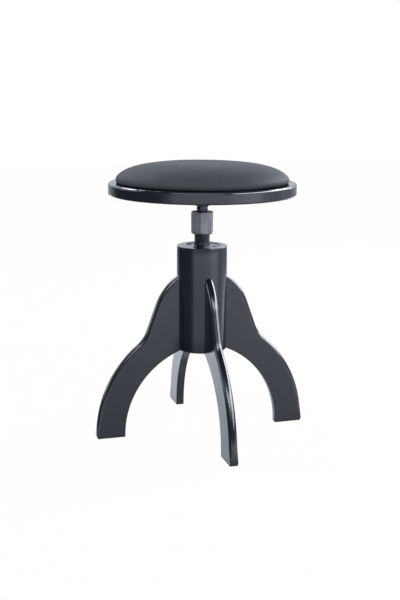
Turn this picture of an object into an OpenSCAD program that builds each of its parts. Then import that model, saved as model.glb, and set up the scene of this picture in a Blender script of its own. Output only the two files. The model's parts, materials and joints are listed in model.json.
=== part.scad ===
// Revolving piano stool on four sawn legs, raised by a double screw spindle.
// Origin: on the stool's axis, at the level of the floor. The legs lie along X and Y.

/* [Seat board] */
// Diameter of the round wooden seat board
seat_d = 352; // [330:1:400]
// Thickness of the seat board
seat_t = 22; // [18:0.5:26]
// Rounding of the board's upper edge
seat_top_round = 4; // [2:0.5:6]
// Rounding of the board's lower edge
seat_low_round = 3; // [1:0.5:6]

/* [Pad] */
// Bare rim of the seat board that shows round the pad
rim_w = 13; // [10:0.5:20]
// Height of the pad's crown above the seat board
pad_h = 35.5; // [30:0.5:42]
// Height of the pad's widest line above the seat board
pad_side_h = 8; // [6:0.5:10]
// How far the pad's side draws in below its widest line
pad_tuck = 4; // [2:0.5:6]
// Thickness of the leather cover
cover_t = 1.2; // [0.8:0.1:2]
// Width of the hem that is turned in under the pad
hem_w = 26; // [15:1:35]
// Thickness of the plywood disc inside the pad
pad_board_t = 10; // [8:0.5:11]
// Number of staples that hold the cover's hem
staple_count = 24; // [12:1:36]

/* [Hub] */
// Diameter of the turned hub
hub_d = 95; // [92:0.5:104]
// Height of the hub
hub_h = 201; // [185:1:230]
// Height of the hub's underside above the floor
hub_z = 165; // [160:0.5:170]
// Rounding of the hub's upper and lower edges
hub_round = 1.5; // [0.5:0.5:3]

/* [Legs] */
// Thickness of each leg
leg_t = 16; // [14:0.5:20]
// Distance from the axis to the outside of each foot
foot_reach = 209; // [200:1:222]
// Width of each leg along its sweep
leg_w = 55.7; // [48:0.1:60]
// Radius of the leg's outer sweep
sweep_r = 227; // [222:0.5:234]
// Radius of the cheek that the leg ends in at its top
cheek_r = 115; // [110:1:118]
// Farthest reach of the cheek's circle from the axis
cheek_reach = 98; // [94:1:101]
// Height of the cheek's centre
cheek_z = 215; // [208:1:218]
// Lean of the straight waist below the cheek, in degrees
waist_lean = 20; // [16:0.5:24]
// Radius of the hollow between the waist and the sweep
waist_r = 60; // [40:1:75]
// Depth of the housing in the hub that holds each leg
housing_depth = 8; // [5:0.5:10]
// Diameter of the dowels that hold the legs
dowel_d = 10; // [8:0.5:12]
// Length of these dowels
dowel_l = 32; // [24:1:32]
// Rounding of each foot's outer corner
foot_round = 2.5; // [1.5:0.5:7]
// Thickness of the felt pad under each foot
felt_t = 2; // [1:0.5:4]
// How far the felt stays back from the foot's sides
felt_inset = 0.5; // [0.5:0.5:4]

/* [Flange nut] */
// Diameter of the nut's plate
nut_plate_d = 68; // [66:0.5:74]
// Thickness of the nut's plate
nut_plate_t = 6; // [5:0.5:9]
// Depth of the plate's face below the hub's top
nut_recess = 1; // [0.5:0.25:2]
// Diameter of the collar that stands on the plate
nut_collar_d = 30.8; // [30.6:0.1:34]
// Height of that collar
nut_collar_h = 7.5; // [5:0.5:12]
// Diameter of the sleeve below the plate
nut_sleeve_d = 40; // [39:0.5:42]
// Length of the sleeve below the plate
nut_sleeve_l = 40; // [30:1:45]
// Diameter of the circle that the nut's screws stand on
nut_screw_pcd = 54; // [52:0.5:55]

/* [Spindles] */
// Outer diameter of the outer spindle's fine thread
outer_d = 29; // [28.4:0.1:30]
// Pitch of the fine thread
outer_pitch = 2; // [1.5:0.25:3]
// Depth of the fine thread
outer_thread_depth = 0.9; // [0.5:0.1:1]
// Width across the flats of the hexagonal head
hex_af = 39; // [36:0.5:42]
// Turn of the hexagon at rest, against the clock as seen from above
hex_turn = 5; // [0:1:30]
// Height of the hexagonal head
hex_h = 42; // [36:0.5:48]
// Outer spindle that shows below the head at rest
outer_show = 15.5; // [8:0.5:25]
// Rise of the outer spindle from rest to its stop
outer_lift = 55; // [40:1:60]
// Outer diameter of the inner spindle's coarse thread
inner_d = 22; // [20:0.1:22.4]
// Pitch of the coarse thread
inner_pitch = 5; // [4:0.5:6]
// Depth of the coarse thread
inner_thread_depth = 1.4; // [1:0.1:2.2]
// Inner spindle that shows above the head at rest
inner_show = 12; // [8:0.5:20]
// Rise of the inner spindle from rest to its stop
inner_lift = 50; // [40:1:54]

/* [Spindle stops] */
// Outer diameter of the stop ring under the outer spindle
stop_ring_d = 38; // [34:0.5:39]
// Thickness of the stop ring
stop_ring_t = 8; // [5:0.5:10]
// Diameter of the neck that carries the stop ring
neck_d = 26; // [25:0.1:26.4]
// Outer diameter of the retaining ring below it
clip_d = 30.5; // [29:0.5:33]
// Thickness of the retaining ring
clip_t = 1.5; // [1:0.25:2]
// Diameter of the stop washer under the inner spindle
washer_d = 28; // [26:0.5:32]
// Thickness of the stop washer
washer_t = 4; // [3:0.5:5]

/* [Seat flange] */
// Diameter of the steel flange under the seat
flange_d = 110; // [100:1:140]
// Thickness of that flange
flange_t = 4; // [3:0.5:6]
// Diameter of the flange's boss
boss_d = 36; // [31:0.5:42]
// Height of the flange and boss together
boss_h = 21; // [16:0.5:30]
// Diameter of the circle that the flange's screws stand on
flange_screw_pcd = 84; // [76:1:88]
// Diameter of the circle that the pad's screws stand on
pad_screw_pcd = 200; // [180:1:220]

/* [Hidden] */
$fn = 96;
// Overrun of every cut past the face it goes through
overrun = 1;
// Gap at each glued face and round each dowel
glue_gap = 0.1;
// Gap between a soft piece and its neighbour
soft_gap = 0.3;
// Radial gap of a shaft that turns in its bore
running_gap = 0.08;
// Play of a ring between its shoulders, and of a spindle at its stop
end_play = 0.3;
stop_play = 0.5;
// Room past the end of a blind hole
hole_end = 0.5;

// Seat and pad
seat_r = seat_d / 2;
pad_r = seat_r - rim_w;
// The crown follows a superellipse: how square it is, and how full its shoulder
crown_power = 5;
crown_shoulder = 0.75;
crown_steps = 20;
side_steps = 5;

// Hub and flange nut
hub_r = hub_d / 2;
hub_top = hub_z + hub_h;
plate_z = hub_top - nut_recess;
nut_low_z = plate_z - nut_plate_t - nut_sleeve_l;
collar_top = plate_z + nut_collar_h;
collar_chamfer = 0.5;
hub_bore_d = nut_sleeve_d + 2 * glue_gap;

// Spindles, worked down from the seat and up from the hub
hex_z = collar_top + outer_show;
hex_top = hex_z + hex_h;
boss_z = hex_top + inner_show;
seat_z = boss_z + boss_h;
seat_top = seat_z + seat_t;
ring_top = nut_low_z - stop_play - outer_lift;
shoulder_z = ring_top + end_play;
clip_top = ring_top - stop_ring_t - end_play;
neck_end_l = 2;
outer_end = clip_top - clip_t - neck_end_l;
clip_seat = 0.7;
clip_opening = 6;
clear_gap = 0.25;
thread_bore_l = hex_h + outer_show;
washer_top = outer_end - stop_play - inner_lift;
inner_end = washer_top + end_play;
hex_corner_r = hex_af / 2 / cos(30);
hex_worn_r = hex_corner_r - 0.3;
hex_foot_r = hex_af / 2 - 1.2;
hex_top_chamfer = 0.8;
boss_chamfer = 1.5;
// Shares of one pitch at which the root ends, the crest starts and ends, and the root starts
thread_shares = [0.12, 0.32, 0.68, 0.88];

// Leg outline, drawn with x away from the axis and y upwards
root_r = hub_r - housing_depth;
joint_r = sqrt(hub_r * hub_r - leg_t * leg_t / 4);
// The sweep ends upright, level with the centre of the foot's rounded corner
foot_c = [foot_reach - foot_round, felt_t + foot_round];
sweep_c = [foot_reach - sweep_r, foot_c.y];
cheek_c = [cheek_reach - cheek_r, cheek_z];
joint_top = cheek_c.y + sqrt(cheek_r * cheek_r - (joint_r - cheek_c.x) * (joint_r - cheek_c.x));
waist_out = [cos(waist_lean), sin(waist_lean)];
waist_down = [sin(waist_lean), -cos(waist_lean)];
// Centre of the hollow: waist_r outside both the waist's line and the sweep's circle
hollow_start = cheek_c + waist_out * (cheek_r + waist_r) - sweep_c;
hollow_along = -hollow_start * waist_down
    - sqrt(pow(hollow_start * waist_down, 2) - hollow_start * hollow_start + pow(sweep_r + waist_r, 2));
waist_c = sweep_c + hollow_start + waist_down * hollow_along;
cheek_end = cheek_c + waist_out * cheek_r;
waist_end = waist_c - waist_out * waist_r;
shoulder = sweep_c + (waist_c - sweep_c) * sweep_r / (sweep_r + waist_r);
// Heights of the dowels, as shares of the joint's height
dowel_shares = [0.25, 0.75];

// Screws: shank diameter, head diameter, length, and depth of the driver's slots
nut_screw = [5, 9.5, 30];
flange_screw = [4.5, 8.5, 18];
pad_screw = [4, 8, 24];
slot_w = 1.2;
slot_deep = 1.2;
screw_tip = 4;
pad_screw_sink = 9;
// Stop bolt of the inner spindle: shank diameter, width across flats, head height, shank length
stop_bolt = [8, 13, 5.3, 22];
// Staple: length of its crown, width and thickness of its wire, and length of its legs
staple = [10, 1.2, 0.6, 6];
staple_gap = 0.05;

wood = [0.16, 0.17, 0.19];
steel = [0.42, 0.43, 0.45];
dark_steel = [0.22, 0.23, 0.26];
leather = [0.2, 0.21, 0.23];

// Half section of a disc with rounded edges
module disc_section(r, h, top_round, low_round) {
    square([r - low_round, low_round]);
    translate([0, low_round]) square([r, h - low_round - top_round]);
    translate([0, h - top_round]) square([r - top_round, top_round]);
    translate([r - low_round, low_round]) circle(low_round);
    translate([r - top_round, h - top_round]) circle(top_round);
}

// Copies on a circle, midway between the legs
module between_legs(pcd) {
    for (turn = [45 : 90 : 315]) rotate(turn) translate([pcd / 2, 0, 0]) children();
}

// Countersunk wood screw, its head's face at zero and its point downwards
module countersunk_screw(size) {
    head_h = (size[1] - size[0]) / 2;
    difference() {
        rotate_extrude() polygon([
            [0, 0], [size[1] / 2, 0], [size[0] / 2, -head_h],
            [size[0] / 2, screw_tip - size[2]], [0, -size[2]]]);
        for (turn = [0, 90]) rotate(turn) translate([-size[0] / 2, -slot_w / 2, -slot_deep])
            cube([size[0], slot_w, slot_deep + overrun]);
    }
}

// Hole for that screw, with its countersink
module countersunk_hole(size) {
    head_h = (size[1] - size[0]) / 2;
    hole_r = size[0] / 2 + glue_gap;
    head_r = size[1] / 2 + glue_gap;
    rotate_extrude() polygon([
        [0, overrun], [head_r, overrun], [head_r, 0], [hole_r, -head_h],
        [hole_r, -size[2] - hole_end], [0, -size[2] - hole_end]]);
}

// Points of a threaded rod's outline, from low up to high
function thread_points(low, high, r, depth, pitch) =
    let (turns = floor((high - low) / pitch))
    [for (turn = [0 : turns - 1], i = [0 : 3])
        [i == 1 || i == 2 ? r : r - depth, low + pitch * (turn + thread_shares[i])]];

// Board of the leg's thickness, cut to a flat outline, and a cutter that goes right through it
module board() {
    linear_extrude(leg_t, center = true) children();
}

module board_cut() {
    linear_extrude(leg_t + 2 * overrun, center = true) children();
}

// Leg lying flat: x away from the stool's axis, y upwards
module flat_leg() {
    difference() {
        union() {
            board() translate(sweep_c) circle(sweep_r);
            board() translate(cheek_c) circle(cheek_r);
            board() polygon([sweep_c, cheek_c, cheek_end, waist_end, shoulder]);
        }
        board_cut() translate(waist_c) circle(waist_r);
        board_cut() translate(sweep_c) circle(sweep_r - leg_w);
    }
}

module at_dowels() {
    for (share = dowel_shares) translate([root_r, 0, hub_z + share * (joint_top - hub_z)])
        rotate([0, 90, 0]) children();
}

module leg(turn) {
    color(wood) rotate(turn) difference() {
        rotate([90, 0, 0]) {
            intersection() {
                flat_leg();
                union() {
                    board_cut() translate([joint_r - overrun, foot_c.y])
                        square([foot_reach, joint_top - foot_c.y]);
                    board_cut() translate([joint_r, felt_t]) square([foot_c.x - joint_r, foot_round]);
                    board_cut() translate(foot_c) circle(foot_round);
                }
            }
            board() translate([root_r + glue_gap, hub_z])
                square([joint_r - root_r - glue_gap, joint_top - hub_z]);
        }
        at_dowels() cylinder(d = dowel_d + 2 * glue_gap, h = dowel_l + 2 * hole_end, center = true);
    }
}

module leg_dowels() {
    color("burlywood") for (turn = [0 : 90 : 270]) rotate(turn)
        at_dowels() cylinder(d = dowel_d, h = dowel_l, center = true);
}

module foot_felts() {
    color("dimgray") for (turn = [0 : 90 : 270]) rotate(turn)
        translate([foot_reach - leg_w + felt_inset, felt_inset - leg_t / 2, 0])
            cube([leg_w - felt_inset - foot_round, leg_t - 2 * felt_inset, felt_t]);
}

module hub() {
    color(wood) difference() {
        translate([0, 0, hub_z]) rotate_extrude() disc_section(hub_r, hub_h, hub_round, hub_round);
        translate([0, 0, hub_z - overrun]) cylinder(d = hub_bore_d, h = hub_h + 2 * overrun);
        translate([0, 0, plate_z - nut_plate_t])
            cylinder(d = nut_plate_d + 2 * glue_gap, h = nut_plate_t + nut_recess + overrun);
        for (turn = [0 : 90 : 270]) rotate(turn) {
            translate([root_r, -leg_t / 2 - glue_gap, hub_z - overrun])
                cube([housing_depth + overrun, leg_t + 2 * glue_gap, joint_top - hub_z + glue_gap + overrun]);
            at_dowels() cylinder(d = dowel_d + 2 * glue_gap, h = dowel_l + 2 * hole_end, center = true);
        }
        translate([0, 0, plate_z]) between_legs(nut_screw_pcd) countersunk_hole(nut_screw);
    }
}

module flange_nut() {
    bore_r = outer_d / 2 + running_gap;
    color(steel) difference() {
        rotate_extrude() polygon([
            [bore_r, nut_low_z], [nut_sleeve_d / 2, nut_low_z],
            [nut_sleeve_d / 2, plate_z - nut_plate_t], [nut_plate_d / 2, plate_z - nut_plate_t],
            [nut_plate_d / 2, plate_z], [nut_collar_d / 2, plate_z],
            [nut_collar_d / 2, collar_top - collar_chamfer],
            [nut_collar_d / 2 - collar_chamfer, collar_top], [bore_r, collar_top]]);
        translate([0, 0, plate_z]) between_legs(nut_screw_pcd) countersunk_hole(nut_screw);
    }
}

module flange_nut_screws() {
    color(dark_steel) translate([0, 0, plate_z]) between_legs(nut_screw_pcd) countersunk_screw(nut_screw);
}

module hex_head() {
    intersection() {
        translate([0, 0, hex_z]) rotate(hex_turn) cylinder(r = hex_corner_r, h = hex_h, $fn = 6);
        rotate_extrude() polygon([
            [0, hex_z], [hex_foot_r, hex_z], [hex_worn_r, hex_z + hex_worn_r - hex_foot_r],
            [hex_worn_r, hex_top - hex_top_chamfer], [hex_worn_r - hex_top_chamfer, hex_top], [0, hex_top]]);
    }
}

module outer_spindle() {
    bore_r = inner_d / 2 + running_gap;
    color(dark_steel) difference() {
        union() {
            hex_head();
            rotate_extrude() polygon(concat(
                [[0, outer_end], [neck_d / 2, outer_end],
                    [neck_d / 2, clip_top - clip_t], [neck_d / 2 - clip_seat, clip_top - clip_t],
                    [neck_d / 2 - clip_seat, clip_top], [neck_d / 2, clip_top], [neck_d / 2, shoulder_z],
                    [outer_d / 2 - outer_thread_depth, shoulder_z]],
                thread_points(shoulder_z, hex_z, outer_d / 2, outer_thread_depth, outer_pitch),
                [[outer_d / 2 - outer_thread_depth, hex_z], [0, hex_z]]));
        }
        translate([0, 0, outer_end - overrun])
            cylinder(r = bore_r, h = hex_top - outer_end + 2 * overrun);
        translate([0, 0, outer_end - overrun])
            cylinder(r = inner_d / 2 + clear_gap, h = hex_top - thread_bore_l - outer_end + overrun);
    }
}

module outer_stop_ring() {
    color(steel) translate([0, 0, ring_top - stop_ring_t]) difference() {
        cylinder(d = stop_ring_d, h = stop_ring_t);
        translate([0, 0, -overrun]) cylinder(d = neck_d + 2 * running_gap, h = stop_ring_t + 2 * overrun);
    }
}

module outer_retaining_ring() {
    color(steel) translate([0, 0, clip_top - clip_t]) difference() {
        cylinder(d = clip_d, h = clip_t);
        translate([0, 0, -overrun]) cylinder(r = neck_d / 2 - clip_seat + glue_gap, h = clip_t + 2 * overrun);
        translate([0, -clip_opening / 2, -overrun]) cube([clip_d, clip_opening, clip_t + 2 * overrun]);
    }
}

module inner_spindle() {
    bolt_r = stop_bolt[0] / 2 + glue_gap;
    bolt_hole_l = stop_bolt[3] - washer_t + hole_end;
    color(dark_steel) difference() {
        rotate_extrude() polygon(concat(
            [[0, inner_end], [inner_d / 2 - inner_thread_depth, inner_end]],
            thread_points(inner_end, boss_z, inner_d / 2, inner_thread_depth, inner_pitch),
            [[inner_d / 2 - inner_thread_depth, boss_z], [inner_d / 2, boss_z], [inner_d / 2, seat_z],
                [0, seat_z]]));
        translate([0, 0, inner_end - overrun]) cylinder(r = bolt_r, h = bolt_hole_l + overrun);
    }
}

module inner_stop_washer() {
    color(steel) translate([0, 0, washer_top - washer_t]) difference() {
        cylinder(d = washer_d, h = washer_t);
        translate([0, 0, -overrun])
            cylinder(d = stop_bolt[0] + 2 * running_gap, h = washer_t + 2 * overrun);
    }
}

module inner_stop_bolt() {
    head_top = washer_top - washer_t - end_play;
    color(steel) {
        translate([0, 0, head_top]) cylinder(d = stop_bolt[0], h = stop_bolt[3] - end_play);
        translate([0, 0, head_top - stop_bolt[2]])
            cylinder(d = stop_bolt[1] / cos(30), h = stop_bolt[2], $fn = 6);
    }
}

module seat_flange() {
    color(dark_steel) difference() {
        rotate_extrude() polygon([
            [inner_d / 2 + glue_gap, boss_z], [boss_d / 2 - boss_chamfer, boss_z],
            [boss_d / 2, boss_z + boss_chamfer], [boss_d / 2, seat_z - flange_t],
            [flange_d / 2, seat_z - flange_t], [flange_d / 2, seat_z], [inner_d / 2 + glue_gap, seat_z]]);
        translate([0, 0, seat_z - flange_t]) between_legs(flange_screw_pcd)
            mirror([0, 0, 1]) countersunk_hole(flange_screw);
    }
}

module seat_flange_screws() {
    color(steel) translate([0, 0, seat_z - flange_t]) between_legs(flange_screw_pcd)
        mirror([0, 0, 1]) countersunk_screw(flange_screw);
}

module seat_board() {
    color(wood) difference() {
        translate([0, 0, seat_z]) rotate_extrude()
            disc_section(seat_r, seat_t, seat_top_round, seat_low_round);
        translate([0, 0, seat_z - flange_t]) between_legs(flange_screw_pcd)
            mirror([0, 0, 1]) countersunk_hole(flange_screw);
        between_legs(pad_screw_pcd) {
            translate([0, 0, seat_z + pad_screw_sink]) mirror([0, 0, 1]) countersunk_hole(pad_screw);
            translate([0, 0, seat_z - overrun])
                cylinder(d = pad_screw[1] + 2 * glue_gap, h = pad_screw_sink + overrun);
        }
    }
}

module pad_screws() {
    color(steel) translate([0, 0, seat_z + pad_screw_sink]) between_legs(pad_screw_pcd)
        mirror([0, 0, 1]) countersunk_screw(pad_screw);
}

// Levels of the pad's layers, from the seat board up
hem_z = seat_top + soft_gap;
pad_board_z = hem_z + cover_t + soft_gap;
foam_z = pad_board_z + pad_board_t + soft_gap;
widest_z = seat_top + pad_side_h;
crown_h = pad_h - pad_side_h;

// Crown of the pad, drawn in by inset: its height over the widest line at radius r, and the reverse
function crown_at(r, inset) =
    (crown_h - inset) * pow(max(0, 1 - pow(r / (pad_r - inset), crown_power)), crown_shoulder);
function radius_at(h, inset) =
    (pad_r - inset) * pow(1 - pow(h / (crown_h - inset), 1 / crown_shoulder), 1 / crown_power);

// Points of the crown from radius start in to the axis, closer together towards the shoulder
function crown_points(start, inset) =
    [for (step = [0 : crown_steps]) let (r = start * cos(90 * step / crown_steps))
        [r, widest_z + crown_at(r, inset)]];

// Points of the drawn-in side, from level low up to the widest line
function side_points(low, inset) =
    [for (step = [side_steps : -1 : 1]) let (part = step / side_steps)
        [pad_r - inset - pad_tuck * part * part, widest_z - (widest_z - low) * part]];

// One staple pushed up into the hem, its crown's underside at zero, and all sides larger by gap
module staple(gap) {
    wire = [staple[1] + 2 * gap, staple[2] + 2 * gap];
    translate([-wire.x / 2, -staple[0] / 2 - gap, -gap]) cube([wire.x, staple[0] + 2 * gap, wire.y]);
    for (side = [-1, 1]) translate([0, side * (staple[0] - staple[2]) / 2, 0])
        translate([-wire.x / 2, -wire.y / 2, -gap]) cube([wire.x, wire.y, staple[3] + 2 * gap]);
}

module staples(gap) {
    for (i = [0 : staple_count - 1]) rotate((i + 0.5) * 360 / staple_count)
        translate([pad_r - pad_tuck - hem_w / 2, 0, hem_z]) staple(gap);
}

module cover_staples() {
    color(steel) staples(0);
}

module pad_board() {
    color("peru") difference() {
        translate([0, 0, pad_board_z])
            cylinder(r = pad_r - pad_tuck - cover_t - soft_gap, h = pad_board_t);
        translate([0, 0, seat_z + pad_screw_sink]) between_legs(pad_screw_pcd)
            mirror([0, 0, 1]) countersunk_hole(pad_screw);
        staples(staple_gap);
    }
}

module pad_foam() {
    inset = cover_t + soft_gap;
    color("khaki") rotate_extrude() polygon(concat(
        [[0, foam_z]], crown_points(radius_at(foam_z - widest_z, inset), inset)));
}

module pad_cover() {
    hem_r = pad_r - pad_tuck - hem_w;
    inside = crown_points(pad_r - cover_t, cover_t);
    inside_side = side_points(hem_z + cover_t, cover_t);
    color(leather) difference() {
        rotate_extrude() polygon(concat(
            [[hem_r, hem_z]], side_points(hem_z, 0), crown_points(pad_r, 0),
            [for (i = [len(inside) - 1 : -1 : 0]) inside[i]],
            [for (i = [len(inside_side) - 1 : -1 : 0]) inside_side[i]],
            [[hem_r, hem_z + cover_t]]));
        staples(staple_gap);
    }
}

hub();
leg(270);  // leg_front
leg(0);  // leg_right
leg(90);  // leg_back
leg(180);  // leg_left
leg_dowels();
foot_felts();
flange_nut();
flange_nut_screws();
outer_spindle();
outer_stop_ring();
outer_retaining_ring();
inner_spindle();
inner_stop_washer();
inner_stop_bolt();
seat_flange();
seat_flange_screws();
seat_board();
pad_board();
pad_screws();
pad_foam();
pad_cover();
cover_staples();
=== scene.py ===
import bmesh
import bpy
import json
from math import acos, asin, atan2, cos, hypot, pi, radians, sin, sqrt
from mathutils import Matrix, Vector
from mathutils.bvhtree import BVHTree


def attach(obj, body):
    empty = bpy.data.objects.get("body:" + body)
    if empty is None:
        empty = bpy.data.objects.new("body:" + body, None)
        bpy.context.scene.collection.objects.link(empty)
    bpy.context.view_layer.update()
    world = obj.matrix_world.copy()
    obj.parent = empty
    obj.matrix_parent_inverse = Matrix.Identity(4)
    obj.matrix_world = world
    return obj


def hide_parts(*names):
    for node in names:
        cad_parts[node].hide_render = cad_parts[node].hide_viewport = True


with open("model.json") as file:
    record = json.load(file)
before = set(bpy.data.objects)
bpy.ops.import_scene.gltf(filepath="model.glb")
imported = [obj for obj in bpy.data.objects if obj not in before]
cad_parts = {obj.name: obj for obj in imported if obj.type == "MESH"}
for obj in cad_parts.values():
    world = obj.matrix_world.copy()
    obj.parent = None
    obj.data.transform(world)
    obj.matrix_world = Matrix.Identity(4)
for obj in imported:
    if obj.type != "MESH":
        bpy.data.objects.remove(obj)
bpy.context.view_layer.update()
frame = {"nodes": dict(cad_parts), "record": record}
cad_nodes = frame["nodes"]
MM = 0.001

# Camera as fitted to the photograph: metres, but lens and sensor in millimetres
CAMERA_AZIMUTH = radians(-16.72)
CAMERA_DISTANCE = 1.87575
CAMERA_HEIGHT = 0.67698
CAMERA_PITCH = radians(12.558)
CAMERA_ROLL = radians(0.355)
CAMERA_LENS = 60.10
SENSOR = 36.0
CLIP_NEAR, CLIP_FAR = 0.05, 50
# Size of the photograph and the column of its optical axis, in pixels
IMAGE_W, IMAGE_H = 400, 600
CENTRE_X = 201.68

# Sizes of the stool in millimetres
HUB_R = 47.5
HUB_Z, HUB_TOP = 165.0, 366.0
HUB_RIM, HUB_ARRIS, HUB_CHAMFER = 1.5, 0.4, 1.8
PLATE_R, PLATE_Z, PLATE_T, PLATE_GAP = 34.0, 365.0, 6.0, 0.1
NUT_BORE_R = 20.1
LEG_T, FELT_T = 16.0, 2.0
FOOT_REACH, FOOT_ROUND = 209.0, 2.5
SWEEP_R, LEG_W = 227.0, 55.7
CHEEK_R, CHEEK_REACH, CHEEK_Z = 115.0, 98.0, 215.0
WAIST_LEAN, WAIST_R = radians(20), 60.0
LEG_INLET, HEEL_ROUND = 1.5, 2.0
# Rounding of a leg's arrises under it, at its heel, at its sole, above its foot and up its outside
UNDER_ARRIS, HEEL_ARRIS, SOLE_ARRIS, FOOT_ARRIS, LEG_ARRIS = 1.5, 1.2, 1.0, 1.4, 7.4
ARRIS_RUN, ARRIS_STEPS, FLANK_STEP = 25.0, 10, 0.4
HEX_AF, HEX_Z, HEX_TOP, HEX_TURN = 39.0, 388.0, 430.0, radians(5)
HEX_CORNER, HEX_WEAR, HEX_UNDERCUT, HEX_OVERCUT = HEX_AF / 2 / cos(pi / 6), 0.3, 1.2, 1.4
OUTER_R, OUTER_DEPTH, OUTER_PITCH, OUTER_START = 14.5, 0.9, 2.0, 0.0
SHOULDER_Z, OUTER_END = 263.8, 251.7
BORE_GAP, BORE_WIDE_GAP, BORE_DEPTH, BORE_ARRIS = 0.08, 0.25, 57.5, 0.8
CLIP_TOP, CLIP_T, NECK_R, NECK_ARRIS, CLIP_SEAT = 255.2, 1.5, 13.0, 0.4, 0.7
# A thread's start is the share of a turn by which its crest is shifted
INNER_R, INNER_DEPTH, INNER_PITCH, INNER_START = 11.0, 1.4, 5.0, 0.506
INNER_END, BOSS_Z, SEAT_Z, SEAT_TOP = 201.5, 442.0, 463.0, 485.0
BOLT_R, BOLT_HOLE_TOP = 4.1, 220.0
PAD_R, PAD_H, PAD_SIDE_H, PAD_TUCK = 163.0, 35.5, 8.0, 1.5
PAD_RISE, CROWN_POWER, CROWN_SHOULDER = 0.3, 5, 0.75
FOAM_INSET, FOAM_RISE, PAD_BOARD_TOP = 5.0, 5.3, 12.4
# Steps round the axis
ROUND_STEPS, HUB_STEPS, CUSHION_STEPS = 96, 160, 128

# Cushion's simulation: lengths in millimetres, but the voxel and the limit in metres
START_INSET, HEM_SNAP = 0.8, 2.6
HELD_LOW, HELD_HIGH = 2.0, 9.0
VOXEL, PRESSURE, CLOTH_QUALITY, CLOTH_FRAMES = 0.005, 4, 8, 20
SMOOTH_PASSES, SWELL_SHARE, SWELL_LIMIT = 6, 0.2, 0.005

# Studio: level of the world for matt surfaces, strength and tint of what gloss sees
AROUND, AROUND_COLOUR = 0.5, (0.90, 0.95, 1, 1)
GLOSS_STRENGTH, GLOSS_TINT = 2.0, (0.95, 1.0, 1.14)
FLOOR_SIZE, FLOOR_COLOUR, FLOOR_ROUGHNESS, FLOOR_WHITE = 6.0, (0.88, 0.88, 0.89, 1), 0.8, 0.975
# Floor that gloss sees before and behind the stool: one plus the sine of the elevation, level
FLOOR_BEFORE = ((0.6, 0.3), (0.67, 0.35), (0.75, 0.6), (0.8, 0.65), (0.9, 1.0), (0.94, 0.6),
                (0.98, 0.15))
FLOOR_BEHIND = ((0.6, 0.5), (0.7, 0.7), (0.74, 0.9), (0.76, 1.15), (0.785, 1.1), (0.805, 0.15),
                (0.86, 0.2), (0.92, 0.35))
# Dim parts of that floor: azimuth, then stops of the cosine of the angle from it and the level
FLOOR_DIM = ((-105, (0.56, 1.0), (0.7, 0.35), (0.84, 0.08)), (75, (0.94, 1.0), (0.978, 0.65)))
# Bright pool on that floor: azimuth, narrowness, extra level
POOL_AZIMUTH, POOL_POWER, POOL_LEVEL = 44, 10.0, 0.6
# Dim room and the back wall that gloss sees: sine of the elevation, level
ROOM = ((0.2, 0.1), (0.5, 0.04))
WALL = ((0.06, 0.3), (0.22, 0.66), (0.45, 0.66), (0.6, 0.05))
# Windows that gloss sees: azimuth, cosine of half the width, sines of the lower and upper edge,
# power
WINDOWS = ((-152, 0.93, 0.57, 0.74, 10.0), (-116, 0.93, 0.08, 0.24, 2.5),
           (76, 0.56, 0.17, 0.40, 5.0), (78, 0.58, 0.42, 0.62, 10.0),
           (-25, 0.88, 0.31, 0.46, 0.9), (-22, 0.80, 0.48, 0.70, 4.0))
WINDOW_SOFT, WINDOW_TOP_SOFT = 0.04, 0.06
# Lamps: azimuth and elevation in degrees, distance, width, height, power; they aim at this height
LAMPS = {"front_light": (5, 40, 2.6, 2.0, 1.0, 20),
         "left_back_light": (-112, 18, 2.5, 0.5, 1.2, 15),
         "right_back_light": (108, 18, 2.5, 0.5, 1.2, 34)}
LAMP_AIM = 0.3


def make_camera():
    """Camera of the photograph; an azimuth of 0 looks from -Y, and 90 from +X."""
    data = bpy.data.cameras.new("camera")
    data.sensor_fit = "VERTICAL"
    data.sensor_height = SENSOR
    data.sensor_width = SENSOR
    data.lens = CAMERA_LENS
    data.shift_x = (IMAGE_W / 2 - CENTRE_X) / IMAGE_H
    data.clip_start = CLIP_NEAR
    data.clip_end = CLIP_FAR
    camera = bpy.data.objects.new("camera", data)
    bpy.context.scene.collection.objects.link(camera)
    a, p = CAMERA_AZIMUTH, CAMERA_PITCH
    forward = Vector((-sin(a) * cos(p), cos(a) * cos(p), -sin(p)))
    right = Vector((cos(a), sin(a), 0))
    up = right.cross(forward)
    turn = Matrix((right, up, -forward)).transposed() @ Matrix.Rotation(CAMERA_ROLL, 3, "Z")
    place = (sin(a) * CAMERA_DISTANCE, -cos(a) * CAMERA_DISTANCE, CAMERA_HEIGHT)
    camera.matrix_world = Matrix.Translation(place) @ turn.to_4x4()
    bpy.context.scene.camera = camera


# Nodes
def add(tree, kind, inputs=None, **settings):
    """Adds a node, sets its properties, and sets or links its inputs."""
    node = tree.nodes.new(kind)
    for key, value in settings.items():
        setattr(node, key, value)
    for key, value in (inputs or {}).items():
        if isinstance(value, bpy.types.NodeSocket):
            tree.links.new(value, node.inputs[key])
        else:
            node.inputs[key].default_value = value
    return node


def calc(tree, operation, *values, clamp=False):
    """Adds a Math node and returns its output."""
    inputs = dict(enumerate(values))
    return add(tree, "ShaderNodeMath", inputs, operation=operation, use_clamp=clamp).outputs[0]


def group(name, inputs, outputs):
    """Starts a shader node group and returns its tree, its input sockets and its output node."""
    tree = bpy.data.node_groups.new(name, "ShaderNodeTree")
    for title, kind, value in inputs:
        socket = tree.interface.new_socket(title, in_out="INPUT", socket_type="NodeSocket" + kind)
        if value is not None:
            socket.default_value = value
    for title, kind in outputs:
        tree.interface.new_socket(title, in_out="OUTPUT", socket_type="NodeSocket" + kind)
    return tree, tree.nodes.new("NodeGroupInput").outputs, tree.nodes.new("NodeGroupOutput")


def place_group(tree, shared, **inputs):
    return add(tree, "ShaderNodeGroup", inputs, node_tree=shared).outputs


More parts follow.
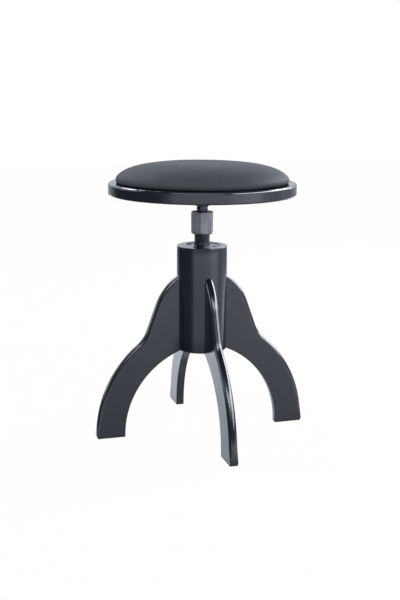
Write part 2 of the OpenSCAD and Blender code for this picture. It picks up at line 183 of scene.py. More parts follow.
def noise(tree, vector, scale, detail=2.0, **inputs):
    """Adds a Noise Texture and returns its value."""
    inputs = {"Vector": vector, "Scale": scale, "Detail": detail, **inputs}
    return add(tree, "ShaderNodeTexNoise", inputs).outputs["Fac"]


def stretched(tree, vector, factors):
    """Multiplies a vector, part by part."""
    inputs = {0: vector, 1: factors}
    return add(tree, "ShaderNodeVectorMath", inputs, operation="MULTIPLY").outputs[0]


def curve(tree, value, *stops):
    """Level that follows straight lines through (place, level) stops, with places from 0 to 1."""
    node = add(tree, "ShaderNodeValToRGB", {"Fac": value})
    elements = node.color_ramp.elements
    while len(elements) < len(stops):
        elements.new(1.0)
    for element, (place, level) in zip(elements, stops):
        element.position = place
        element.color = (level, level, level, 1)
    return add(tree, "ShaderNodeSeparateColor", {"Color": node.outputs["Color"]}).outputs[0]


def mix(tree, factor, a, b):
    """Mixes two colours."""
    node = add(tree, "ShaderNodeMix", data_type="RGBA")
    for socket, value in ((node.inputs[0], factor), (node.inputs[6], a), (node.inputs[7], b)):
        if isinstance(value, bpy.types.NodeSocket):
            tree.links.new(value, socket)
        else:
            socket.default_value = value
    return node.outputs[2]


# Effects that several finishes share
def make_mottle():
    """Cloudy change of tone, for lacquer, leather, wood and oiled steel."""
    tree, given, result = group(
        "mottle", [("Vector", "Vector", None), ("Scale", "Float", 20.0), ("Amount", "Float", 0.1)],
        [("Tone", "Float"), ("Centred", "Float")])
    cloud = noise(tree, given["Vector"], given["Scale"], 5.0, Roughness=0.55)
    centred = calc(tree, "MULTIPLY", calc(tree, "SUBTRACT", cloud, 0.5), given["Amount"])
    tree.links.new(calc(tree, "ADD", centred, 1.0), result.inputs["Tone"])
    tree.links.new(centred, result.inputs["Centred"])
    return tree


def make_streaks():
    """Fine straight tool marks, drawn out along the axis that is stretched least."""
    tree, given, result = group(
        "streaks", [("Vector", "Vector", None), ("Stretch", "Vector", (1, 1, 1)),
                    ("Fineness", "Float", 300.0)], [("Height", "Float")])
    drawn = stretched(tree, given["Vector"], given["Stretch"])
    lines = noise(tree, drawn, given["Fineness"], 3.0, Roughness=0.6)
    tree.links.new(lines, result.inputs["Height"])
    return tree


def make_turning():
    """Round turning marks about the stool's axis."""
    tree, given, result = group(
        "turning_marks", [("Vector", "Vector", None), ("Fineness", "Float", 900.0)],
        [("Height", "Float")])
    place = add(tree, "ShaderNodeSeparateXYZ", {"Vector": given["Vector"]}).outputs
    squares = [calc(tree, "MULTIPLY", place[axis], place[axis]) for axis in "XY"]
    reach = calc(tree, "SQRT", calc(tree, "ADD", *squares))
    ring = add(tree, "ShaderNodeCombineXYZ", {"X": reach, "Y": place["Z"]})
    marks = noise(tree, ring.outputs[0], given["Fineness"])
    tree.links.new(marks, result.inputs["Height"])
    return tree


def make_dust():
    """Sparse pale specks on faces that look up."""
    tree, given, result = group(
        "dust", [("Vector", "Vector", None), ("Amount", "Float", 0.05)], [("Mask", "Float")])
    normal = add(tree, "ShaderNodeNewGeometry").outputs["Normal"]
    upwards = add(tree, "ShaderNodeSeparateXYZ", {"Vector": normal}).outputs["Z"]
    facing = calc(tree, "MULTIPLY", upwards, 1.0, clamp=True)
    specks = calc(tree, "GREATER_THAN", noise(tree, given["Vector"], 420.0), 0.66)
    film = noise(tree, given["Vector"], 14.0, 3.0)
    both = calc(tree, "MULTIPLY", calc(tree, "MULTIPLY", specks, film), facing)
    tree.links.new(calc(tree, "MULTIPLY", both, given["Amount"]), result.inputs["Mask"])
    return tree


def make_leather_grain():
    """Fine pebbled grain of artificial leather."""
    tree, given, result = group(
        "leather_grain", [("Vector", "Vector", None), ("Scale", "Float", 900.0)],
        [("Height", "Float")])
    cells = add(tree, "ShaderNodeTexVoronoi", {"Vector": given["Vector"], "Scale": given["Scale"]},
                feature="SMOOTH_F1")
    pebbles = calc(tree, "MULTIPLY", cells.outputs["Distance"], 0.7)
    fine = calc(tree, "MULTIPLY", noise(tree, given["Vector"], given["Scale"]), 0.5)
    tree.links.new(calc(tree, "ADD", pebbles, fine), result.inputs["Height"])
    return tree


mottle, streaks, turning = make_mottle(), make_streaks(), make_turning()
dust, leather_grain = make_dust(), make_leather_grain()
DUST_COLOUR = (0.4, 0.4, 0.4, 1)


def new_finish(name, **sockets):
    """Starts a material; its even values are set on the shader's own sockets."""
    material = bpy.data.materials.new(name)
    material.use_nodes = True
    tree = material.node_tree
    shader = tree.nodes["Principled BSDF"]
    for key, value in sockets.items():
        shader.inputs[key.replace("_", " ")].default_value = value
    place = add(tree, "ShaderNodeTexCoord").outputs["Object"]
    return material, tree, shader, place


def relief(tree, shader, height, strength, distance):
    """Bump from a height, its distance in metres."""
    inputs = {"Height": height, "Strength": strength, "Distance": distance}
    bump = add(tree, "ShaderNodeBump", inputs)
    tree.links.new(bump.outputs["Normal"], shader.inputs["Normal"])


def clouded(tree, place, scale, amount, colour):
    """Colour that changes a little in tone over the surface."""
    tone = place_group(tree, mottle, Vector=place, Scale=scale, Amount=amount)["Tone"]
    return stretched(tree, colour, tone)


def worn(tree, shader, place, scale, amount, roughness):
    """Roughness that changes a little over the surface."""
    uneven = place_group(tree, mottle, Vector=place, Scale=scale, Amount=amount)["Centred"]
    tree.links.new(calc(tree, "ADD", uneven, roughness), shader.inputs["Roughness"])


def dusty(tree, shader, place, amount, colour):
    """Base colour under a little pale dust."""
    specks = place_group(tree, dust, Vector=place, Amount=amount)["Mask"]
    tree.links.new(mix(tree, specks, colour, DUST_COLOUR), shader.inputs["Base Color"])


def lacquer_finish():
    """Black lacquer with a slight orange peel, smudges and a little dust."""
    material, tree, shader, place = new_finish("black_lacquer", IOR=1.5)
    dusty(tree, shader, place, 0.25, clouded(tree, place, 9.0, 0.3, (0.010, 0.0125, 0.018)))
    worn(tree, shader, place, 26.0, 0.12, 0.16)
    relief(tree, shader, noise(tree, place, 620.0, 1.0), 0.1, 0.0003)
    return material


def leather_finish():
    """Satin artificial leather with a fine grain."""
    material, tree, shader, place = new_finish(
        "charcoal_leatherette", IOR=1.3, Specular_IOR_Level=0.1,
        Specular_Tint=(1.0, 0.95, 0.86, 1.0))
    dusty(tree, shader, place, 0.2, clouded(tree, place, 12.0, 0.3, (0.070, 0.075, 0.083)))
    worn(tree, shader, place, 18.0, 0.18, 0.56)
    grain = place_group(tree, leather_grain, Vector=place, Scale=900.0)
    relief(tree, shader, grain["Height"], 0.25, 0.0004)
    return material


def tooled(tree, shader, place, roughness, marks, fineness, **stretch):
    """Roughness and bump from tool marks."""
    height = place_group(tree, marks, Vector=place, Fineness=fineness, **stretch)["Height"]
    uneven = calc(tree, "MULTIPLY", calc(tree, "SUBTRACT", height, 0.5), 0.25)
    tree.links.new(calc(tree, "ADD", uneven, roughness), shader.inputs["Roughness"])
    relief(tree, shader, height, 0.25, 0.0003)


def steel_finish(name, colour, roughness, fineness, stain=0.3):
    """Turned steel."""
    material, tree, shader, place = new_finish(name, Metallic=1.0)
    tree.links.new(clouded(tree, place, 60.0, stain, colour), shader.inputs["Base Color"])
    tooled(tree, shader, place, roughness, turning, fineness)
    return material


def spindle_finish(shank, head):
    """Dark oiled shank, and above it a hexagon that is milled bright, with paler streaks."""
    material, tree, shader, place = new_finish("milled_hexagon", Metallic=0.42)
    stain = 0.7
    height = add(tree, "ShaderNodeSeparateXYZ", {"Vector": place}).outputs["Z"]
    above = curve(tree, calc(tree, "SUBTRACT", height, HEX_Z * MM), (0.0, 0.0), (0.0008, 1.0))
    streaky = noise(tree, stretched(tree, place, (1, 1, 0.12)), 150.0)
    pale = (head[0] * 1.5, head[1] * 1.45, head[2] * 1.2, 1)
    milled = mix(tree, curve(tree, streaky, (0.5, 0.0), (0.7, 1.0)), (*head, 1), pale)
    tone = mix(tree, above, clouded(tree, place, 60.0, stain, shank),
               clouded(tree, place, 60.0, stain, milled))
    tree.links.new(tone, shader.inputs["Base Color"])
    tooled(tree, shader, place, 0.5, streaks, 260.0, Stretch=(1, 1, 0.06))
    return material


def plain_finish(name, colour, roughness, scale, bump, **sockets):
    """Painted, wooden, felt or foam surface."""
    material, tree, shader, place = new_finish(name, **sockets)
    tree.links.new(clouded(tree, place, scale / 8, 0.35, colour), shader.inputs["Base Color"])
    worn(tree, shader, place, scale / 4, 0.15, roughness)
    relief(tree, shader, noise(tree, place, scale, 3.0), 0.4, bump)
    return material


FINISHES = {
    "lacquered_wood": lacquer_finish(),
    "leather": leather_finish(),
    "bright_steel": steel_finish("plated_steel", (0.42, 0.42, 0.45), 0.16, 900.0),
    "dark_steel": steel_finish("blackened_steel", (0.09, 0.09, 0.11), 0.3, 900.0, stain=0.5),
    "screw_steel": steel_finish("screw_steel", (0.10, 0.10, 0.11), 0.35, 700.0),
    "black_steel": plain_finish("black_paint", (0.02, 0.02, 0.024), 0.4, 500.0, 0.0002),
    "bare_wood": plain_finish("bare_beech", (0.60, 0.42, 0.26), 0.6, 300.0, 0.0004),
    "felt": plain_finish("black_felt", (0.012, 0.012, 0.012), 0.95, 1500.0, 0.001,
                         Sheen_Weight=0.3),
    "foam": plain_finish("cream_foam", (0.75, 0.68, 0.46), 0.9, 700.0, 0.001),
}
# Finishes of single pieces that differ from the rest of their slot
SPINDLE_FINISH = spindle_finish((0.045, 0.045, 0.055), (0.24, 0.24, 0.265))
NODE_FINISHES = {"flange_nut_screws": plain_finish(
    "black_screws", (0.008, 0.008, 0.01), 0.8, 900.0, 0.0001, Specular_IOR_Level=0.05)}


# Meshes
def new_piece(name, points, faces, slot, body, nodes):
    """A smooth mesh from points in millimetres, closed at its doubles, riding on a body."""
    mesh = bpy.data.meshes.new(name)
    mesh.from_pydata([[v * MM for v in p] for p in points], [], faces)
    piece = bpy.data.objects.new(name, mesh)
    bpy.context.scene.collection.objects.link(piece)
    tidy_mesh(mesh)
    mesh.shade_smooth()
    settle(piece, slot, body, nodes)
    return piece


def tidy_mesh(mesh):
    """Merges doubles, drops faces without area and turns the rest outwards."""
    form = bmesh.new()
    form.from_mesh(mesh)
    bmesh.ops.remove_doubles(form, verts=form.verts, dist=1e-6)
    bmesh.ops.dissolve_degenerate(form, edges=form.edges, dist=1e-7)
    bmesh.ops.recalc_face_normals(form, faces=form.faces)
    form.to_mesh(mesh)
    form.free()


def settle(piece, slot, body, nodes):
    """Gives a piece its finish, its body and the CAD nodes that it stands for."""
    piece.data.materials.clear()
    piece.data.materials.append(FINISHES[slot])
    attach(piece, body)
    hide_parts(*nodes)


def arc(centre, radius, start, end, steps):
    """Points of an arc in a plane, angles in radians."""
    return [(centre[0] + radius * cos(start + (end - start) * i / steps),
             centre[1] + radius * sin(start + (end - start) * i / steps)) for i in range(steps + 1)]


def skin(rings, points, round_rings, round_points):
    """Quads from each ring of points to the next, closed round either way if asked."""
    corners = ((0, 0), (1, 0), (1, 1), (0, 1))
    return [tuple((r + a) % rings * points + (i + b) % points for a, b in corners)
            for r in range(rings if round_rings else rings - 1)
            for i in range(points if round_points else points - 1)]


def turned(profile, steps=ROUND_STEPS, closed=True):
    """Points and faces of a profile of (radius, height) turned round the axis."""
    points = [(r * cos(2 * pi * s / steps), r * sin(2 * pi * s / steps), z)
              for s in range(steps) for r, z in profile]
    return points, skin(steps, len(profile), True, closed)


def sharpen(piece, angle):
    """Splits the shading where two faces meet at more than an angle in degrees."""
    form = bmesh.new()
    form.from_mesh(piece.data)
    for edge in form.edges:
        if len(edge.link_faces) == 2 and edge.calc_face_angle() > radians(angle):
            edge.smooth = False
    form.to_mesh(piece.data)
    form.free()


def make_hub():
    """Turned column with a recess for the nut's plate and a bore for the spindles."""
    low, high = HUB_Z + HUB_RIM, HUB_TOP - HUB_RIM
    recess, floor = PLATE_R + PLATE_GAP, PLATE_Z - PLATE_T
    profile = [(NUT_BORE_R + HUB_ARRIS, HUB_Z)]
    profile += arc((HUB_R - HUB_RIM, low), HUB_RIM, -pi / 2, 0, 5)
    profile += [(HUB_R, HUB_Z + (HUB_TOP - HUB_Z) * i / 8) for i in range(1, 8)]
    profile += arc((HUB_R - HUB_RIM, high), HUB_RIM, 0, pi / 2, 5)
    profile += [(recess + HUB_CHAMFER, HUB_TOP), (recess, HUB_TOP - HUB_CHAMFER), (recess, floor),
                (NUT_BORE_R, floor), (NUT_BORE_R, HUB_Z + HUB_ARRIS)]
    points, faces = turned(profile, HUB_STEPS)
    sharpen(new_piece("turned_hub", points, faces, "lacquered_wood", "base", ["hub"]), 25)


def leg_outline():
    """Outline of a leg as (reach, height, arris radius), from under the hub round the foot."""
    foot = (FOOT_REACH - FOOT_ROUND, FELT_T + FOOT_ROUND)
    sweep = (FOOT_REACH - SWEEP_R, foot[1])
    cheek = (CHEEK_REACH - CHEEK_R, CHEEK_Z)
    # A leaning edge runs from the cheek's circle to the waist's, which touches the sweep's
    out = Vector((cos(WAIST_LEAN), sin(WAIST_LEAN)))
    down = Vector((sin(WAIST_LEAN), -cos(WAIST_LEAN)))
    start = Vector(cheek) + out * (CHEEK_R + WAIST_R) - Vector(sweep)
    ahead = start.dot(down)
    along = -ahead - sqrt(ahead ** 2 - start.length_squared + (SWEEP_R + WAIST_R) ** 2)
    waist = Vector(sweep) + start + down * along
    face = sqrt(HUB_R ** 2 - LEG_T ** 2 / 4) - LEG_INLET
    inner_r = SWEEP_R - LEG_W
    points = []

    def put(new, radius):
        points.extend((*p, radius(p) if callable(radius) else radius) for p in new)

    # Underside: from the hub to the foot's inner corner
    low = asin((FELT_T + HEEL_ROUND - sweep[1]) / (inner_r + HEEL_ROUND))
    put(arc(sweep, inner_r, acos((face - sweep[0]) / inner_r), low, 60), UNDER_ARRIS)
    corner = (sweep[0] + (inner_r + HEEL_ROUND) * cos(low), FELT_T + HEEL_ROUND)
    put(arc(corner, HEEL_ROUND, low + pi, 1.5 * pi, 5), HEEL_ARRIS)
    sole = foot[0] - corner[0]
    put([(corner[0] + sole * i / 8, FELT_T) for i in range(1, 8)], SOLE_ARRIS)
    # Outer edge: the arris widens above the foot
    put(arc(foot, FOOT_ROUND, -pi / 2, 0, 6), lambda p: SOLE_ARRIS + (
        FOOT_ARRIS - SOLE_ARRIS) * max(0.0, (p[1] - FELT_T) / FOOT_ROUND))
    turn = atan2(waist[1] - sweep[1], waist[0] - sweep[0])
    put(arc(sweep, SWEEP_R, 0, turn, 70)[1:], lambda p: FOOT_ARRIS + (
        LEG_ARRIS - FOOT_ARRIS) * min(1.0, (p[1] - foot[1]) / ARRIS_RUN))
    back = atan2(sweep[1] - waist[1], sweep[0] - waist[0]) % (2 * pi)
    put(arc(waist, WAIST_R, back, pi + WAIST_LEAN, 16)[1:], LEG_ARRIS)
    put(arc(cheek, CHEEK_R, WAIST_LEAN, acos((face - cheek[0]) / CHEEK_R), 30), LEG_ARRIS)
    # Drawn in by the rounding, the points just before the last would lie behind the leg's end
    del points[-4:-1]
    return points


def make_leg(name, node, turn):
    """Leg sawn from board: rings of its outline, each drawn in by the rounding of the arrises.

    The first and the last ring lie further in on the flanks, which keeps those flat in the light.
    """
    outline = leg_outline()
    count = len(outline)
    normals = []
    for i in range(count):
        a = Vector(outline[max(i - 1, 0)][:2])
        b = Vector(outline[min(i + 1, count - 1)][:2])
        along = (b - a).normalized()
        normals.append(Vector((along.y, -along.x)))
    # The ends in the hub stay upright
    for end in (0, -1):
        normals[end] = Vector((0, 1 / normals[end].y))
    quarter = [(radians(90 * k / ARRIS_STEPS), 0.0) for k in range(ARRIS_STEPS + 1)]
    quarter.append((radians(90), FLANK_STEP))
    rings = [(-1, *ring) for ring in reversed(quarter)] + [(1, *ring) for ring in quarter]
    spin = Matrix.Rotation(radians(turn), 3, "Z")
    points = []
    for side, angle, further in rings:
        for (x, z, radius), normal in zip(outline, normals):
            p = Vector((x, z)) - normal * (radius * (1 - cos(angle)) + further)
            y = side * (LEG_T / 2 - radius * (1 - sin(angle)))
            points.append(spin @ Vector((p.x, y, p.y)))
    faces = skin(len(rings), count, False, True)
    faces += [tuple(range(count)), tuple(reversed(range(len(points) - count, len(points))))]
    piece = new_piece(name, points, faces, "lacquered_wood", "base", [node])
    form = bmesh.new()
    form.from_mesh(piece.data)
    flanks = [face for face in form.faces if len(face.verts) > 4]
    for face in bmesh.ops.triangulate(form, faces=flanks, ngon_method="BEAUTY")["faces"]:
        face.smooth = False
    form.to_mesh(piece.data)
    form.free()
    sharpen(piece, 30)


# Threads
def thread_tree():
    """Geometry nodes: the flank of a screw thread, welded into one open tube.

    It is a grid of levels and steps round the axis. Each turn has four levels, the corners of the
    thread's outline, and turns that lie past an end are pressed flat against it.
    """
    tree = bpy.data.node_groups.new("screw_thread", "GeometryNodeTree")
    for title in ("Radius", "Depth", "Pitch", "Low", "High", "Start"):
        tree.interface.new_socket(title, in_out="INPUT", socket_type="NodeSocketFloat")
    tree.interface.new_socket("Steps", in_out="INPUT", socket_type="NodeSocketInt")
    tree.interface.new_socket("Material", in_out="INPUT", socket_type="NodeSocketMaterial")
    tree.interface.new_socket("Mesh", in_out="OUTPUT", socket_type="NodeSocketGeometry")
    given = tree.nodes.new("NodeGroupInput").outputs

    def do(operation, *values):
        return calc(tree, operation, *values)

    length = do("SUBTRACT", given["High"], given["Low"])
    turns = do("ADD", do("CEIL", do("DIVIDE", length, given["Pitch"])), 3.0)
    levels = do("MULTIPLY", turns, 4.0)
    tall = do("SUBTRACT", levels, 1.0)
    grid = add(tree, "GeometryNodeMeshGrid", {
        "Size X": tall, "Size Y": given["Steps"], "Vertices X": levels,
        "Vertices Y": do("ADD", given["Steps"], 1.0)})
    position = add(tree, "GeometryNodeInputPosition").outputs[0]
    spot = add(tree, "ShaderNodeSeparateXYZ", {"Vector": position}).outputs
    level = do("ROUND", do("ADD", spot["X"], do("DIVIDE", tall, 2.0)))
    step = do("ROUND", do("ADD", spot["Y"], do("DIVIDE", given["Steps"], 2.0)))
    around = do("DIVIDE", step, given["Steps"])
    turn = do("FLOOR", do("DIVIDE", do("ADD", level, 0.5), 4.0))
    corner = do("SUBTRACT", do("SUBTRACT", level, do("MULTIPLY", turn, 4.0)), 1.5)
    # The four corners of a turn lie 0.38 and 0.18 of a pitch below and above its middle
    spread = do("MULTIPLY_ADD", do("ABSOLUTE", corner), 0.2, 0.08)
    aside = do("MULTIPLY", do("SIGN", corner), spread)
    share = do("ADD", do("ADD", turn, aside), do("ADD", around, given["Start"]))
    rise = do("MULTIPLY", do("SUBTRACT", share, 1.0), given["Pitch"])
    free = do("ADD", given["Low"], rise)
    height = do("MINIMUM", do("MAXIMUM", free, given["Low"]), given["High"])
    inside = do("LESS_THAN", do("ABSOLUTE", do("SUBTRACT", free, height)), 1e-7)
    crest = do("MULTIPLY", do("LESS_THAN", do("ABSOLUTE", corner), 1.0), inside)
    root = do("SUBTRACT", given["Radius"], given["Depth"])
    reach = do("ADD", root, do("MULTIPLY", crest, given["Depth"]))
    angle = do("MULTIPLY", around, 2 * pi)
    place = add(tree, "ShaderNodeCombineXYZ", {
        "X": do("MULTIPLY", reach, do("COSINE", angle)),
        "Y": do("MULTIPLY", reach, do("SINE", angle)), "Z": height})
    moved = add(tree, "GeometryNodeSetPosition", {
        "Geometry": grid.outputs["Mesh"], "Position": place.outputs[0]})
    welded = add(tree, "GeometryNodeMergeByDistance", {
        "Geometry": moved.outputs[0], "Distance": 2e-6})
    real = add(tree, "GeometryNodeRealizeInstances", {"Geometry": welded.outputs[0]})
    painted = add(tree, "GeometryNodeSetMaterial", {
        "Geometry": real.outputs[0], "Material": given["Material"]})
    tree.links.new(painted.outputs[0], tree.nodes.new("NodeGroupOutput").inputs[0])
    return tree


screw_thread = thread_tree()


def evaluated_mesh(piece):
    """Plain copy of a piece's mesh as its modifiers make it."""
    seen = piece.evaluated_get(bpy.context.evaluated_depsgraph_get())
    return bpy.data.meshes.new_from_object(seen)


def grown(name, tree, **inputs):
    """Plain mesh that a geometry node tree makes with these inputs."""
    carrier = bpy.data.objects.new(name, bpy.data.meshes.new(name))
    bpy.context.scene.collection.objects.link(carrier)
    modifier = carrier.modifiers.new("tree", "NODES")
    modifier.node_group = tree
    for socket in tree.interface.items_tree:
        if socket.in_out == "INPUT":
            modifier[socket.identifier] = inputs[socket.name]
    mesh = evaluated_mesh(carrier)
    bpy.data.objects.remove(carrier)
    return mesh


def thread_mesh(name, radius, depth, pitch, low, high, start):
    """Points and faces of a thread's flank, in millimetres."""
    mesh = grown(name, screw_thread, Radius=radius * MM, Depth=depth * MM, Pitch=pitch * MM,
                 Low=low * MM, High=high * MM, Start=start, Steps=ROUND_STEPS,
                 Material=FINISHES["dark_steel"])
    points = [[c / MM for c in v.co] for v in mesh.vertices]
    faces = [tuple(p.vertices) for p in mesh.polygons]
    bpy.data.meshes.remove(mesh)
    return points, faces


def joined(*parts):
    """Several lots of points and faces as one."""
    points, faces = [], []
    for more, polygons in parts:
        faces += [tuple(i + len(points) for i in p) for p in polygons]
        points += more
    return points, faces


def hex_reach(s):
    """Distance from the axis to the hexagon's side at a step round it; its corners are worn."""
    angle = (2 * pi * s / ROUND_STEPS) % (pi / 3) - pi / 6
    return min(HEX_AF / 2 / cos(angle), HEX_CORNER - HEX_WEAR)


def make_outer_spindle():
    """Hollow spindle: fine thread, hexagonal head with turned chamfers, bore, and a neck below."""
    root, bore, wide = OUTER_R - OUTER_DEPTH, INNER_R + BORE_GAP, INNER_R + BORE_WIDE_GAP
    bore_end, clip_z, clip_r = HEX_TOP - BORE_DEPTH, CLIP_TOP - CLIP_T, NECK_R - CLIP_SEAT
    rows = []
    for s in range(ROUND_STEPS):
        r = hex_reach(s)
        rise = r - HEX_AF / 2 + HEX_UNDERCUT
        cut = max(0.0, r - (HEX_CORNER - HEX_OVERCUT))
        rows.append([
            (root, HEX_Z), (HEX_AF / 2 - HEX_UNDERCUT, HEX_Z), (r, HEX_Z + rise),
            (r, (HEX_Z + HEX_TOP) / 2), (r, HEX_TOP - cut), (r - cut, HEX_TOP),
            (bore + BORE_ARRIS, HEX_TOP), (bore, HEX_TOP - BORE_ARRIS), (bore, bore_end),
            (wide, bore_end), (wide, OUTER_END), (NECK_R - NECK_ARRIS, OUTER_END),
            (NECK_R, OUTER_END + NECK_ARRIS), (NECK_R, clip_z), (clip_r, clip_z),
            (clip_r, CLIP_TOP), (NECK_R, CLIP_TOP), (NECK_R, SHOULDER_Z), (root, SHOULDER_Z)])
    points = []
    for s, row in enumerate(rows):
        angle = 2 * pi * s / ROUND_STEPS + HEX_TURN
        points += [(r * cos(angle), r * sin(angle), z) for r, z in row]
    faces = skin(ROUND_STEPS, len(rows[0]), True, False)
    thread = thread_mesh("fine_thread", OUTER_R, OUTER_DEPTH, OUTER_PITCH, SHOULDER_Z, HEX_Z,
                         OUTER_START)
    points, faces = joined((points, faces), thread)
    piece = new_piece("hex_screw_spindle", points, faces, "dark_steel", "outer_screw",
                      ["outer_spindle"])
    piece.data.materials[0] = SPINDLE_FINISH
    sharpen(piece, 20)


def make_inner_spindle():
    """Seat's own spindle: coarse thread, plain stub in the flange, and a bolt hole in its end."""
    root = INNER_R - INNER_DEPTH
    stub = [(root, BOSS_Z), (INNER_R, BOSS_Z), (INNER_R, SEAT_Z), (0, SEAT_Z)]
    hole = [(0, BOLT_HOLE_TOP), (BOLT_R, BOLT_HOLE_TOP), (BOLT_R, INNER_END), (root, INNER_END)]
    thread = thread_mesh("coarse_thread", INNER_R, INNER_DEPTH, INNER_PITCH, INNER_END, BOSS_Z,
                         INNER_START)
    points, faces = joined(turned(stub, closed=False), turned(hole, closed=False), thread)
    sharpen(new_piece("seat_screw_spindle", points, faces, "dark_steel", "seat",
                      ["inner_spindle"]), 20)


# Cushion
def crown(r, radius, rise):
    """Height of the cushion's top above its side, at a distance from the axis."""
    return rise * max(0.0, 1 - (r / radius) ** CROWN_POWER) ** CROWN_SHOULDER


def cushion_profile(inset, low):
    """Half outline of the crowned cushion, from the middle of its underside to that of its top."""
    wide = SEAT_TOP + PAD_SIDE_H
    radius, rise = PAD_R - inset, PAD_H - PAD_SIDE_H - inset
    side = [(radius - PAD_TUCK * (1 - i / 6) ** 2, low + (wide - low) * i / 6) for i in range(6)]
    reaches = [radius * cos(pi / 2 * i / 24) for i in range(25)]
    return [(0, low)] + side + [(r, wide + crown(r, radius, rise)) for r in reaches]


def remesh(piece):
    """Gives the cushion an even mesh for the cloth, laid on the drawn shape, with a crisp hem."""
    drawn = BVHTree.FromPolygons([v.co.copy() for v in piece.data.vertices],
                                 [tuple(p.vertices) for p in piece.data.polygons])
    hem_r, hem_z = (PAD_R - START_INSET - PAD_TUCK) * MM, (SEAT_TOP + PAD_RISE) * MM
    voxels = piece.modifiers.new("voxels", "REMESH")
    voxels.mode = "VOXEL"
    voxels.voxel_size = VOXEL
    solid = evaluated_mesh(piece)
    piece.modifiers.clear()
    piece.data = solid
    for vertex in solid.vertices:
        place = drawn.find_nearest(vertex.co)[0]
        reach = hypot(place.x, place.y)
        if hypot(reach - hem_r, place.z - hem_z) < HEM_SNAP * MM:
            place = Vector((place.x * hem_r / reach, place.y * hem_r / reach, hem_z))
        vertex.co = place


def simulate(piece):
    """Blows the cushion up as cloth under pressure, held at its hem.

    Points move outwards only, by a smoothed share of the swell, and up to a limit.
    """
    scene = bpy.context.scene
    solid = piece.data
    start = [v.co.copy() for v in solid.vertices]
    outwards = [v.normal.copy() for v in solid.vertices]
    held = piece.vertex_groups.new(name="held")
    for i, place in enumerate(start):
        height = (place.z / MM - SEAT_TOP - HELD_LOW) / (HELD_HIGH - HELD_LOW)
        held.add([i], min(1.0, max(0.0, 1 - height)), "REPLACE")
    cloth = piece.modifiers.new("cloth", "CLOTH")
    cloth.settings.quality = CLOTH_QUALITY
    cloth.settings.vertex_group_mass = "held"
    cloth.settings.use_pressure = True
    cloth.settings.uniform_pressure_force = PRESSURE
    cloth.settings.effector_weights.gravity = 0
    for number in range(1, CLOTH_FRAMES + 1):
        scene.frame_set(number)
    blown = evaluated_mesh(piece)
    scene.frame_set(1)
    piece.modifiers.clear()
    piece.vertex_groups.clear()
    swell = [max(0.0, (new.co - old).dot(normal))
             for new, old, normal in zip(blown.vertices, start, outwards)]
    bpy.data.meshes.remove(blown)
    linked = [[] for _ in swell]
    for edge in solid.edges:
        a, b = edge.vertices
        linked[a].append(b)
        linked[b].append(a)
    for _ in range(SMOOTH_PASSES):
        swell = [(value + sum(swell[j] for j in near)) / (1 + len(near))
                 for value, near in zip(swell, linked)]
    for vertex, normal, value in zip(solid.vertices, outwards, swell):
        vertex.co += normal * min(SWELL_LIMIT, value * SWELL_SHARE)


def make_cushion():
    """Crowned cushion in its cover."""
    profile = cushion_profile(START_INSET, SEAT_TOP + PAD_RISE)
    points, faces = turned(profile, CUSHION_STEPS, closed=False)
    piece = bpy.data.objects.new("seat_cushion", bpy.data.meshes.new("seat_cushion"))
    piece.data.from_pydata([[v * MM for v in p] for p in points], [], faces)
    bpy.context.scene.collection.objects.link(piece)
    tidy_mesh(piece.data)
    remesh(piece)
    simulate(piece)
    piece.data.shade_smooth()
    subdivide = piece.modifiers.new("round", "SUBSURF")
    subdivide.levels = subdivide.render_levels = 1
    settle(piece, "leather", "seat", ["pad_cover"])


def make_foam():
    """Filling under the cover, flat where it lies on the pad board."""
    points, faces = turned(cushion_profile(FOAM_INSET, SEAT_TOP + FOAM_RISE), closed=False)
    points = [(x, y, max(z, SEAT_TOP + PAD_BOARD_TOP)) for x, y, z in points]
    piece = new_piece("pad_filling", points, faces, "foam", "seat", ["pad_foam"])


def make_floor():
    """Pale floor that the camera sees as almost white, with a trace of the stool's shadow."""
    size = FLOOR_SIZE
    mesh = bpy.data.meshes.new("floor")
    mesh.from_pydata([(-size, -size, 0), (size, -size, 0), (size, size, 0), (-size, size, 0)], [],
                     [(0, 1, 2, 3)])
    floor = bpy.data.objects.new("floor", mesh)
    bpy.context.scene.collection.objects.link(floor)
    material = bpy.data.materials.new("pale_floor")
    material.use_nodes = True
    tree = material.node_tree
    shader = tree.nodes["Principled BSDF"]
    shader.inputs["Base Color"].default_value = FLOOR_COLOUR
    shader.inputs["Roughness"].default_value = FLOOR_ROUGHNESS
    white = add(tree, "ShaderNodeEmission", {"Color": (1, 1, 1, 1), "Strength": 1.0})
    path = add(tree, "ShaderNodeLightPath").outputs
    share = calc(tree, "MULTIPLY", path["Is Camera Ray"], FLOOR_WHITE)
    both = add(tree, "ShaderNodeMixShader", {0: share, 1: shader.outputs[0], 2: white.outputs[0]})
    tree.links.new(both.outputs[0], tree.nodes["Material Output"].inputs["Surface"])
    mesh.materials.append(material)
    floor.visible_glossy = False


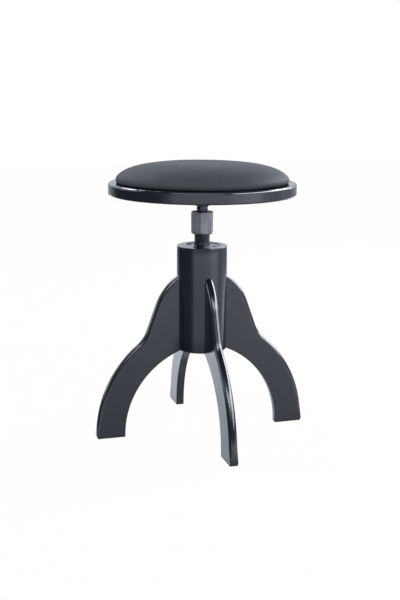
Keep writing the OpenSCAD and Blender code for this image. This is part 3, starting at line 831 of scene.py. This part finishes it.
def make_world():
    """Studio: white to the camera, soft grey to matt surfaces, and to gloss a room with windows.

    Gloss sees the floor as part of the world, lit in front of the stool, bright close behind it
    and dim at its left. Over it stand a dim room, a white wall behind the stool, and the windows.
    """
    world = bpy.data.worlds.new("studio")
    world.use_nodes = True
    tree = world.node_tree
    around = tree.nodes["Background"]
    around.inputs["Color"].default_value = AROUND_COLOUR
    around.inputs["Strength"].default_value = AROUND

    def do(operation, *values):
        return calc(tree, operation, *values)

    direction = add(tree, "ShaderNodeTexCoord").outputs["Generated"]
    look = add(tree, "ShaderNodeSeparateXYZ", {"Vector": direction}).outputs
    z = look["Z"]
    level = do("SQRT", do("SUBTRACT", 1.0001, do("MULTIPLY", z, z)))
    x, y = (do("DIVIDE", look[axis], level) for axis in "XY")

    def towards(azimuth):
        """Cosine of the angle, seen from above, between the direction and an azimuth."""
        a = radians(azimuth)
        return do("MULTIPLY_ADD", x, sin(a), do("MULTIPLY", y, -cos(a)))

    below = do("ADD", z, 1.0)
    back = curve(tree, do("ADD", y, 0.5), (0.1, 0.0), (0.9, 1.0))
    floor = mix(tree, back, curve(tree, below, *FLOOR_BEFORE), curve(tree, below, *FLOOR_BEHIND))
    for azimuth, *stops in FLOOR_DIM:
        floor = do("MULTIPLY", floor, curve(tree, towards(azimuth), *stops))
    pool = do("POWER", do("MAXIMUM", towards(POOL_AZIMUTH), 0.0), POOL_POWER)
    floor = do("MULTIPLY", floor, do("MULTIPLY_ADD", pool, POOL_LEVEL, 1.0))
    wall = do("MULTIPLY", curve(tree, y, (0.0, 0.0), (0.35, 1.0)), curve(tree, z, *WALL))
    room = do("MAXIMUM", curve(tree, z, *ROOM), wall)
    above = curve(tree, do("MULTIPLY_ADD", z, 10.0, 0.5), (0.3, 0.0), (0.7, 1.0))
    seen = mix(tree, above, floor, room)
    for azimuth, reach, low, high, power in WINDOWS:
        wide = curve(tree, towards(azimuth), (reach, 0.0), (reach + WINDOW_SOFT, 1.0))
        tall = curve(tree, z, (low, 0.0), (low + WINDOW_SOFT, 1.0), (high, 1.0),
                     (high + WINDOW_TOP_SOFT, 0.0))
        seen = do("MAXIMUM", seen, do("MULTIPLY", do("MULTIPLY", wide, tall), power))
    mirrored = add(tree, "ShaderNodeBackground", {
        "Color": stretched(tree, GLOSS_TINT, seen), "Strength": GLOSS_STRENGTH})
    white = add(tree, "ShaderNodeBackground", {"Color": (1, 1, 1, 1), "Strength": 1.0})
    path = add(tree, "ShaderNodeLightPath").outputs
    gloss = add(tree, "ShaderNodeMixShader", {
        0: path["Is Glossy Ray"], 1: around.outputs[0], 2: mirrored.outputs[0]})
    both = add(tree, "ShaderNodeMixShader", {
        0: path["Is Camera Ray"], 1: gloss.outputs[0], 2: white.outputs[0]})
    tree.links.new(both.outputs[0], tree.nodes["World Output"].inputs["Surface"])
    bpy.context.scene.world = world


def soft_light(name, azimuth, elevation, distance, width, height, power):
    """Large area lamp aimed at the middle of the stool; azimuth is counted as the camera's is."""
    data = bpy.data.lights.new(name, "AREA")
    data.shape = "RECTANGLE"
    data.size, data.size_y = width, height
    data.energy = power
    lamp = bpy.data.objects.new(name, data)
    a, e = radians(azimuth), radians(elevation)
    back = Vector((sin(a) * cos(e), -cos(a) * cos(e), sin(e)))
    lamp.location = Vector((0, 0, LAMP_AIM)) + back * distance
    lamp.rotation_euler = (-back).to_track_quat("-Z", "Y").to_euler()
    lamp.visible_camera = False
    lamp.visible_glossy = False
    bpy.context.scene.collection.objects.link(lamp)


def dress_cad_nodes():
    """CAD nodes whose shape is right keep their mesh and get their finish."""
    for entry in frame["record"]["subparts"]:
        finish = NODE_FINISHES.get(entry["node"], FINISHES[entry["material_slot"]])
        materials = cad_nodes[entry["node"]].data.materials
        for i in range(len(materials)):
            materials[i] = finish


dress_cad_nodes()
make_camera()
make_world()
make_floor()
for lamp_name, settings in LAMPS.items():
    soft_light(lamp_name, *settings)

make_hub()
for side, turn in (("front", 270), ("right", 0), ("back", 90), ("left", 180)):
    make_leg("sawn_leg_" + side, "leg_" + side, turn)
make_outer_spindle()
make_inner_spindle()
make_cushion()
make_foam()

bpy.context.scene.view_settings.view_transform = "Standard"
